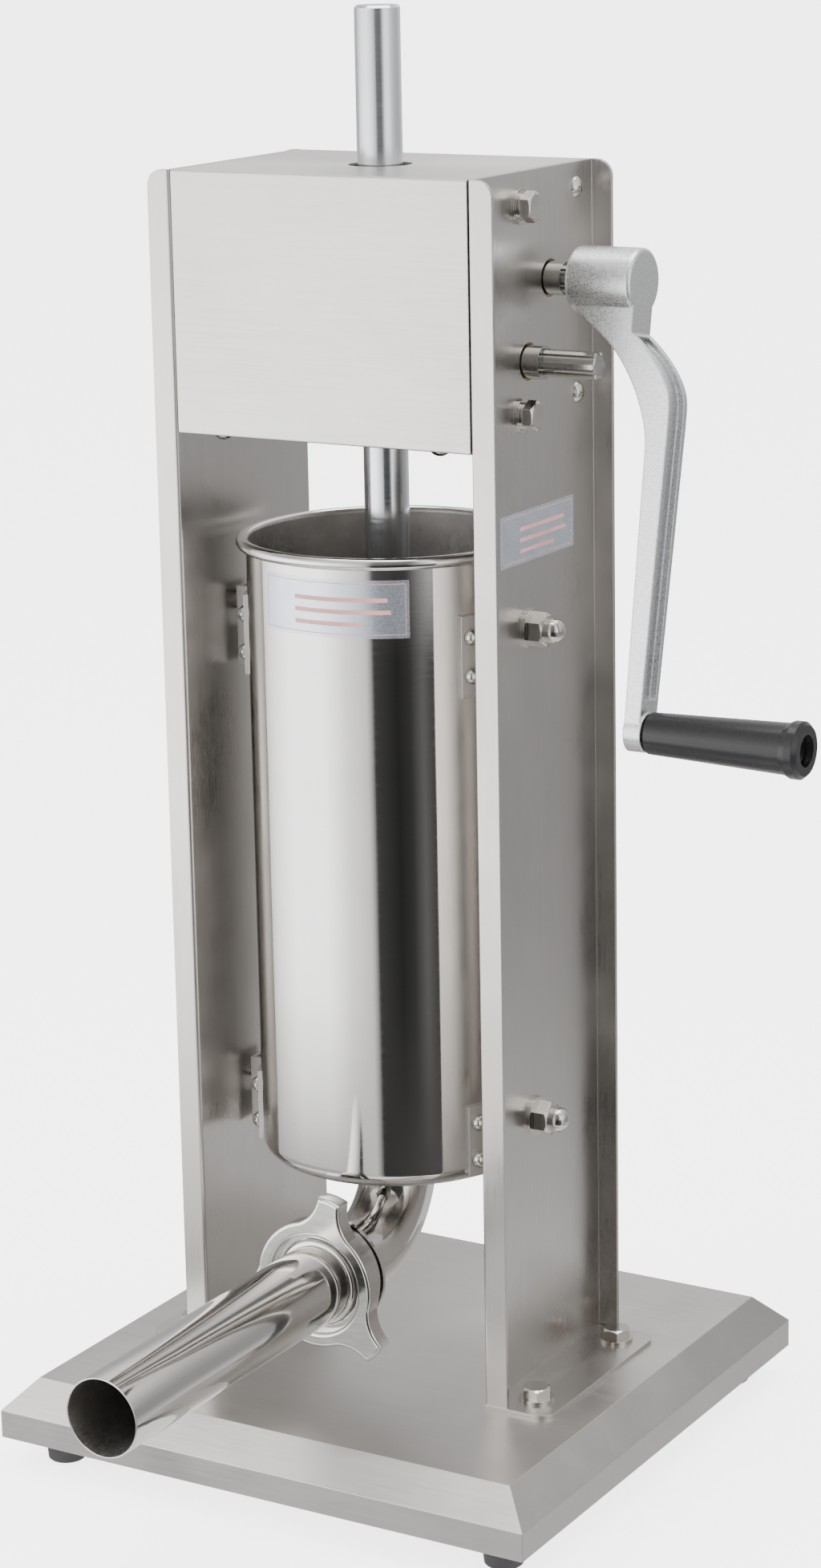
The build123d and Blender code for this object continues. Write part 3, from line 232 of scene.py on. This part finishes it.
inside_steel = machined_steel("inside_steel", (0.50, 0.48, 0.46), 0.42, edge=0.0)
bronze = machined_steel("bush_bronze", (0.62, 0.45, 0.24), 0.3)
plastic = moulded("black_plastic", (0.008, 0.008, 0.009), 0.24, 900.0, 0.000008, specular=0.4)
rubber = moulded("black_rubber", (0.03, 0.03, 0.032), 0.6, 700.0, 0.00004, specular=0.3)
silicone = moulded("white_silicone", (0.80, 0.79, 0.75), 0.45, 300.0, 0.00001)
sticker_foil = foil()
sticker_print = moulded("sticker_print", (0.42, 0.20, 0.19), 0.4, 500.0, 0.000005, edge=0.0)
weld_steel = machined_steel("weld_steel", (0.62, 0.60, 0.57), 0.2, edge=0.0)

finishes = {
    sheet_upright: ["right_column", "left_column"],
    sheet_across: ["front_cover", "rear_cover", "bottom_cover", "barrel_hangers"],
    sheet_base: ["base_pan"],
    polish: ["barrel", "outlet_elbow", "outlet_ferrule", "stuffing_horn"],
    polish_nut: ["ring_nut"],
    chrome_rod: ["piston_rod"],
    casting: ["crank_arm"],
    steel: ["gear_frame", "centre_bearing_plate", "piston_top_plate", "piston_bottom_plate", "drive_gear",
            "slow_pinion", "fast_shaft_collars", "slow_shaft_collar"],
    spline_steel: ["fast_shaft", "slow_shaft"],
    bright_fastener: ["foot_screws", "foot_nuts", "anchor_bolts", "anchor_washers", "anchor_nuts",
                      "bottom_cover_screws", "side_cover_screws", "gear_frame_bolts", "gear_frame_washers",
                      "bearing_plate_screws", "barrel_studs", "stud_washers", "acorn_nuts", "hanger_cap_nuts",
                      "piston_nut", "grip_spindle"],
    bronze: ["shaft_bushes", "rod_guide_bushes"],
    plastic: ["crank_grip"],
    rubber: ["rubber_feet"],
    silicone: ["piston_seal", "horn_gasket"],
}
for material, names in finishes.items():
    for name in names:
        for place in nodes[name].material_slots:
            place.material = material


# ---------------------------------------------------------------- mesh helpers
def new_piece(name, mesh_builder, material, body, smooth_angle=40.0):
    """Make an object from a bmesh, shade it and put it on its body."""
    mesh = bpy.data.meshes.new(name)
    mesh_builder.normal_update()
    mesh_builder.to_mesh(mesh)
    mesh_builder.free()
    piece = bpy.data.objects.new(name, mesh)
    bpy.context.scene.collection.objects.link(piece)
    mesh.materials.append(material)
    for polygon in mesh.polygons:
        polygon.use_smooth = True
    mesh.set_sharp_from_angle(angle=math.radians(smooth_angle))
    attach(piece, body)
    return piece


def lathe(profile, steps, place):
    """Closed profile of (radius, height) points turned about local Z, then placed by a matrix."""
    bm = bmesh.new()
    rings = []
    for step in range(steps):
        turn = 2 * math.pi * step / steps
        ring = [bm.verts.new(place @ Vector((r * math.cos(turn), r * math.sin(turn), z))) for r, z in profile]
        rings.append(ring)
    count = len(profile)
    for step in range(steps):
        here, there = rings[step], rings[(step + 1) % steps]
        for i in range(count):
            j = (i + 1) % count
            bm.faces.new((here[i], there[i], there[j], here[j]))
    bmesh.ops.recalc_face_normals(bm, faces=bm.faces)
    return bm


def arc(centre, radius, start, end, steps):
    """Points along an arc, with its angles in degrees, both ends included."""
    angles = [math.radians(start + (end - start) * step / steps) for step in range(steps + 1)]
    return [(centre[0] + radius * math.cos(a), centre[1] + radius * math.sin(a)) for a in angles]


def tube_along(points, radius, sides, closed=False):
    """Round bar along a line of points; ends are closed with flat caps unless the line is a loop."""
    bm = bmesh.new()
    rings = []
    count = len(points)
    for i, point in enumerate(points):
        before = points[i - 1] if i or closed else point
        after = points[(i + 1) % count] if i + 1 < count or closed else point
        forward = (after - before).normalized()
        if rings:
            side = (side - forward * side.dot(forward)).normalized()
        else:
            side = forward.orthogonal().normalized()
        up = forward.cross(side)
        rings.append([
            bm.verts.new(point + (side * math.cos(a) + up * math.sin(a)) * radius)
            for a in (2 * math.pi * k / sides for k in range(sides))
        ])
    for i in range(count if closed else count - 1):
        here, there = rings[i], rings[(i + 1) % count]
        for k in range(sides):
            bm.faces.new((here[k], here[(k + 1) % sides], there[(k + 1) % sides], there[k]))
    if not closed:
        bm.faces.new(list(reversed(rings[0])))
        bm.faces.new(rings[-1])
    bmesh.ops.recalc_face_normals(bm, faces=bm.faces)
    return bm


# ---------------------------------------------------------------- weld beads, seams and stickers
STICKER_GAP = 0.01 * MM  # air under a sticker, so that it doesn't share a face with the steel


def millimetres(*values):
    """Values in millimetres, given in metres."""
    return tuple(value * MM for value in values)


def facing_front(y):
    """Matrix that turns local Z to the front (-Y) on the outlet's axis."""
    return Matrix.Translation((0.0, y, outlet_z)) @ Matrix.Rotation(math.radians(90), 4, "X")


def ring_points(centre, radius, normal, steps):
    """Points on a circle about a centre."""
    turn = Vector(normal).to_track_quat("Z", "Y")
    angles = [2 * math.pi * step / steps for step in range(steps)]
    return [Vector(centre) + turn @ Vector((radius * math.cos(a), radius * math.sin(a), 0)) for a in angles]


def weld_bead(name, centre, radius, normal, body):
    """Fillet weld: a small bead round a joint, rippled by its passes."""
    bead_radius, bead_sides = 0.9 * MM, 10
    ripples, points_per_ripple = 70, 4
    narrowest, ripple_depth = 0.86, 0.14
    points = ring_points(centre, radius, normal, ripples * points_per_ripple)
    bm = tube_along(points, bead_radius, bead_sides, closed=True)
    turn = Vector(normal).to_track_quat("Z", "Y").inverted()
    for vertex in bm.verts:
        local = turn @ (vertex.co - Vector(centre))
        angle = math.atan2(local.y, local.x)
        middle = Vector((radius * math.cos(angle), radius * math.sin(angle), 0))
        swell = narrowest + ripple_depth * abs(math.cos(angle * ripples / 2))
        vertex.co = Vector(centre) + turn.inverted() @ (middle + (local - middle) * swell)
    return new_piece(name, bm, weld_steel, body)


def patch(rows, columns, point, thickness):
    """Thin sheet over a grid; point(u, v) gives a place on it and the normal there, u and v from 0 to 1."""
    bm = bmesh.new()
    layers = []
    for lift in (0.0, thickness):
        grid = []
        for row in range(rows + 1):
            line = []
            for column in range(columns + 1):
                place, normal = point(column / columns, row / rows)
                line.append(bm.verts.new(place + normal * lift))
            grid.append(line)
        layers.append(grid)
    under, over = layers
    for row in range(rows):
        for column in range(columns):
            corners = [(row, column), (row, column + 1), (row + 1, column + 1), (row + 1, column)]
            bm.faces.new([over[r][c] for r, c in corners])
            bm.faces.new([under[r][c] for r, c in reversed(corners)])
    edge = [(0, c) for c in range(columns)] + [(r, columns) for r in range(rows)]
    edge += [(rows, c) for c in range(columns, 0, -1)] + [(r, 0) for r in range(rows, 0, -1)]
    for (r0, c0), (r1, c1) in zip(edge, edge[1:] + edge[:1]):
        bm.faces.new((under[r0][c0], under[r1][c1], over[r1][c1], over[r0][c0]))
    bmesh.ops.recalc_face_normals(bm, faces=bm.faces)
    return bm


def sticker(name, body, width, height, surface):
    """Foil label with a printed border and plain rules, and no lettering.
    surface(along, up, lift) gives the place and the normal of a point on it, in metres."""
    film, ink = 0.08 * MM, 0.03 * MM
    foil_columns, print_columns = 32, 24
    rule_lengths = (0.45, 0.62, 0.60)

    def sheet(left, low, right, high, lift):
        def point(u, v):
            return surface(left + (right - left) * u, low + (high - low) * v, lift)
        return point

    foil_sheet = patch(2, foil_columns, sheet(0, 0, width, height, 0.0), film)
    new_piece(name, foil_sheet, sticker_foil, body)
    inset, line = 1.6 * MM, 0.35 * MM
    far, top = width - inset, height - inset
    marks = [(inset, inset, far, inset + line), (inset, top - line, far, top),
             (inset, inset, inset + line, top), (far - line, inset, far, top)]
    rule_left, rule_low, rule_step, rule_height = width * 0.27, height * 0.20, height * 0.21, height * 0.075
    for index, share in enumerate(rule_lengths):
        low = rule_low + index * rule_step
        marks.append((rule_left, low, rule_left + width * share, low + rule_height))
    for index, mark in enumerate(marks):
        bm = patch(1, print_columns, sheet(*mark, film), ink)
        new_piece(f"{name}_print_{index + 1}", bm, sticker_print, body)


def barrel_sticker():
    """Sticker wrapped on the barrel's front, under its rim."""
    low, high = 427.5 * MM, 455.5 * MM
    start, stop = math.radians(-26.7), math.radians(39.0)

    def surface(along, up, lift):
        angle = start + along / barrel_wall_radius
        normal = Vector((math.sin(angle), -math.cos(angle), 0))
        return normal * (barrel_wall_radius + STICKER_GAP + lift) + Vector((0, 0, low + up)), normal

    sticker("barrel_sticker", "barrel_unit", (stop - start) * barrel_wall_radius, high - low, surface)


def column_sticker():
    """Sticker on the outer face of the right column's web, which the flat and spring washers stand on."""
    washers_height = 3.6 * MM
    face_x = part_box("gear_frame_washers")[1][0] - washers_height
    front, back, low, high = millimetres(-37, 36, 460, 485)

    def surface(along, up, lift):
        normal = Vector((1, 0, 0))
        return Vector((face_x + STICKER_GAP + lift, front + along, low + up)), normal

    sticker("column_sticker", "stand", back - front, high - low, surface)


barrel_low, barrel_high = (Vector(corner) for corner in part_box("barrel"))
rim_bead = 3.0 * MM
wall = 1.2 * MM
barrel_wall_radius = barrel_high.x - 2 * rim_bead + wall
elbow_low, elbow_high = (Vector(corner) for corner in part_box("outlet_elbow"))
outlet_radius = elbow_high.x
outlet_z = elbow_low.z + outlet_radius
ferrule_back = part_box("outlet_ferrule")[1][1]
horn_low, horn_high = (Vector(corner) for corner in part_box("stuffing_horn"))

weld_radius, weld_offset = outlet_radius + 0.3 * MM, 0.2 * MM
weld_bead("barrel_outlet_weld", (0, 0, barrel_low.z - weld_offset), weld_radius, (0, 0, 1), "barrel_unit")
weld_bead("ferrule_weld", (0, ferrule_back + weld_offset, outlet_z), weld_radius, (0, -1, 0), "barrel_unit")
barrel_sticker()
column_sticker()


# ---------------------------------------------------------------- turned shells
def line_inside(piece, material, is_inside):
    """Give the faces whose middle passes the test a second material."""
    piece.data.materials.append(material)
    for polygon in piece.data.polygons:
        if is_inside(polygon.center):
            polygon.material_index = 1


def barrel_shell():
    """Barrel: rounded floor corner, straight wall, rolled rim bead and the outlet hole in its floor."""
    corner, low = 9.0 * MM, barrel_low.z
    wall_shares = (0.3, 0.6, 0.9)
    outer, inner = barrel_wall_radius, barrel_wall_radius - wall
    wall_top = barrel_high.z - rim_bead
    hole = outlet_radius - wall
    profile = [(hole, low)]
    profile += arc((outer - corner, low + corner), corner, -90, 0, 16)
    profile += [(outer, low + (wall_top - low) * share) for share in wall_shares]
    rim_start = -math.degrees(math.acos((outer - inner - rim_bead) / rim_bead))
    profile += arc((inner + rim_bead, wall_top), rim_bead, rim_start, 180, 40)
    profile += [(inner, low + (wall_top - low) * share) for share in reversed(wall_shares)]
    profile += arc((inner - corner + wall, low + corner), corner - wall, 0, -90, 12)
    profile += [(hole, low + wall)]
    turned = lathe(profile, 192, Matrix())
    barrel = new_piece("barrel_shell", turned, polish, "barrel_unit")
    wall_middle, floor_inside = (outer + inner) / 2, low + wall * 0.6
    line_inside(barrel, inside_steel, lambda c: math.hypot(c.x, c.y) < wall_middle and c.z > floor_inside)
    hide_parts("barrel")


def horn_shell():
    """Horn: flange, flare and stop bead at its root, a long taper and a slightly rolled tip."""
    back, tip = horn_high.y, horn_low.y
    length = back - tip
    flange_radius, root, thin, flange = horn_high.x, outlet_radius + 1.0 * MM, 0.8 * MM, 1.8 * MM
    end, bead, flare = root - 0.6 * MM, 2.2 * MM, 2.0 * MM
    flare_to_bead = 0.3 * MM
    bead_middle = flange + flare + flare_to_bead + bead
    taper_shares = (0.25, 0.5, 0.75)
    taper_start, seam_end = 0.02, 0.995
    profile = [(root - thin, 0.0), (flange_radius, 0.0), (flange_radius, flange)]
    profile += arc((root + flare, flange + flare), flare, -90, -180, 8)
    profile += arc((root, bead_middle), bead, -90, 90, 16)
    profile += [(root + (end - root) * share, bead_middle + bead + (length - bead_middle - bead) * share)
                for share in (taper_start, *taper_shares)]
    profile += arc((end - thin / 2, length - thin / 2), thin / 2, 0, 180, 8)
    profile += [(root - thin + (end - root) * share, length * share) for share in reversed(taper_shares)]
    turned = lathe(profile, 160, facing_front(back))
    horn = new_piece("horn_shell", turned, polish, "horn", smooth_angle=30.0)
    skin = root - thin * 0.5 - 0.3 * MM
    mouth_back, mouth_front = back - 0.1 * MM, tip + thin
    line_inside(horn, inside_steel,
                lambda c: math.hypot(c.x, c.z - outlet_z) < skin and mouth_front < c.y < mouth_back)
    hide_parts("stuffing_horn")

    seam_angle, seam_radius = math.radians(-38), 0.25 * MM
    seam = []
    for share in (taper_start, *taper_shares, seam_end):
        radius = root - thin + (end - root) * share
        across, up = radius * math.cos(seam_angle), radius * math.sin(seam_angle)
        seam.append(Vector((across, back - length * share, outlet_z + up)))
    new_piece("horn_seam", tube_along(seam, seam_radius, 8), weld_steel, "horn")


barrel_shell()
horn_shell()


# ---------------------------------------------------------------- studio
def between(table, value):
    """Value read from a table of (position, reading) pairs, in straight lines between them."""
    for (x0, y0), (x1, y1) in zip(table, table[1:]):
        if value <= x1:
            share = max(0.0, (value - x0) / (x1 - x0))
            return y0 + (y1 - y0) * share
    return table[-1][1]


# Brightness of the ring of panels by direction, as pairs of degrees and brightness. Degrees run from the
# front (-Y) towards the right (+X). Set until the bands on the barrel and the tone of the sheets
# came close to the photograph's.
RING_LOW = [(-180, 0.8), (-120, 0.5), (-80, 0.6), (-60, 0.6), (-10, 0.7), (12, 0.9), (18, 0.05), (66, 0.10),
            (72, 0.8), (100, 0.6), (140, 0.9), (180, 0.8)]
RING_MIDDLE = [(-180, 0.9), (-130, 0.55), (-95, 0.8), (-80, 2.2), (-55, 3.8), (-25, 3.7), (-5, 1.9),
               (12, 1.2), (18, 0.07), (36, 0.03), (46, 0.05), (56, 0.16), (66, 0.06), (71, 1.1), (80, 1.1),
               (98, 0.35), (120, 0.40), (150, 0.42), (180, 0.9)]
RING_UPPER = [(-180, 0.9), (-130, 0.6), (-95, 0.8), (-80, 2.2), (-55, 3.8), (-25, 3.7), (-5, 2.5), (5, 1.6),
              (14, 1.0), (20, 0.2), (44, 0.15), (56, 1.0), (62, 2.0), (80, 2.2), (98, 1.0), (120, 0.55),
              (150, 0.5), (180, 0.9)]
RING_HIGH = [(-180, 1.7), (-100, 0.9), (-60, 0.55), (-20, 1.2), (10, 1.0), (20, 0.3), (50, 0.3), (62, 1.6),
             (110, 1.2), (150, 0.9), (180, 1.7)]


def panel_glow(direction, height):
    """Brightness of the panels at a direction and height."""
    low, middle, upper, high = (
        between(table, direction) for table in (RING_LOW, RING_MIDDLE, RING_UPPER, RING_HIGH)
    )
    return between([(-0.25, low), (-0.02, middle), (0.22, middle), (0.45, upper), (0.95, high)], height)


def reflection_panels():
    """Ring of soft panels round the object that only reflections see, like cards round steel in a studio."""
    radius, bottom, top = 1.0, -0.6, 1.9
    columns, rows = 240, 40
    mesh = bpy.data.meshes.new("reflection_panels")
    angles = [2 * math.pi * column / columns - math.pi for column in range(columns)]
    heights = [bottom + (top - bottom) * row / rows for row in range(rows + 1)]
    places = [(radius * math.sin(a), -radius * math.cos(a), z) for z in heights for a in angles]
    faces = [
        (row * columns + c, row * columns + (c + 1) % columns, (row + 1) * columns + (c + 1) % columns,
         (row + 1) * columns + c)
        for row in range(rows) for c in range(columns)
    ]
    mesh.from_pydata(places, [], faces)
    glow = mesh.color_attributes.new("glow", "FLOAT_COLOR", "POINT")
    readings = [panel_glow(math.degrees(a), z) for z in heights for a in angles]
    for place, reading in zip(glow.data, readings):
        place.color = (reading, reading, reading, 1.0)
    material = bpy.data.materials.new("reflection_panels")
    material.use_nodes = True
    tree = material.node_tree
    tree.nodes.clear()
    attribute = tree.nodes.new("ShaderNodeVertexColor")
    attribute.layer_name = "glow"
    emission = tree.nodes.new("ShaderNodeEmission")
    output = tree.nodes.new("ShaderNodeOutputMaterial")
    tree.links.new(attribute.outputs["Color"], emission.inputs["Color"])
    tree.links.new(emission.outputs["Emission"], output.inputs["Surface"])
    mesh.materials.append(material)
    panels = bpy.data.objects.new("reflection_panels", mesh)
    bpy.context.scene.collection.objects.link(panels)
    panels.visible_camera = False
    panels.visible_diffuse = False
    panels.visible_transmission = False
    panels.visible_shadow = False


def studio():
    """Floor, world light and three softboxes aimed at the middle of the object."""
    half, world_strength = 30.0, 1.3
    mesh = bpy.data.meshes.new("studio_floor")
    corners = [(-half, -half, 0), (half, -half, 0), (half, half, 0), (-half, half, 0)]
    mesh.from_pydata(corners, [], [(0, 1, 2, 3)])
    floor = bpy.data.objects.new("studio_floor", mesh)
    bpy.context.scene.collection.objects.link(floor)
    mesh.materials.append(floor_material())
    floor.visible_glossy = False

    world = bpy.data.worlds.new("studio")
    bpy.context.scene.world = world
    world.use_nodes = True
    background = world.node_tree.nodes["Background"]
    background.inputs["Color"].default_value = (1.0, 1.0, 1.0, 1.0)
    background.inputs["Strength"].default_value = world_strength

    middle = Vector((0.0, 0.0, 0.35))
    lights = [
        ("key_softbox", (-1.6, -2.0, 1.7), (1.4, 1.8), 55.0),
        ("side_softbox", (2.4, -0.6, 1.2), (0.9, 1.8), 18.0),
        ("top_softbox", (0.1, 0.3, 2.6), (1.8, 1.8), 40.0),
    ]
    for name, position, size, power in lights:
        light = bpy.data.lights.new(name, "AREA")
        light.shape = "RECTANGLE"
        light.size, light.size_y = size
        light.energy = power
        lamp = bpy.data.objects.new(name, light)
        lamp.location = position
        lamp.rotation_euler = (middle - Vector(position)).to_track_quat("-Z", "Y").to_euler()
        bpy.context.scene.collection.objects.link(lamp)


def camera():
    """Camera to the right of the front and a little above, with a long lens and a slight roll."""
    place, lens = (0.93362, -1.5514, 0.80088), 86.38
    yaw, pitch, roll = (math.radians(angle) for angle in (30.76, -14.32, -1.10))
    forward = Vector((-math.sin(yaw) * math.cos(pitch), math.cos(yaw) * math.cos(pitch), math.sin(pitch)))
    right = forward.cross(Vector((0, 0, 1))).normalized()
    up = right.cross(forward)
    right, up = (
        right * math.cos(roll) + up * math.sin(roll),
        up * math.cos(roll) - right * math.sin(roll),
    )
    data = bpy.data.cameras.new("camera")
    data.sensor_width = 36.0
    data.lens = lens
    data.clip_end = 100.0
    eye = bpy.data.objects.new("camera", data)
    eye.matrix_world = Matrix.Translation(place) @ Matrix((right, up, -forward)).transposed().to_4x4()
    bpy.context.scene.collection.objects.link(eye)
    bpy.context.scene.camera = eye


studio()
reflection_panels()
camera()
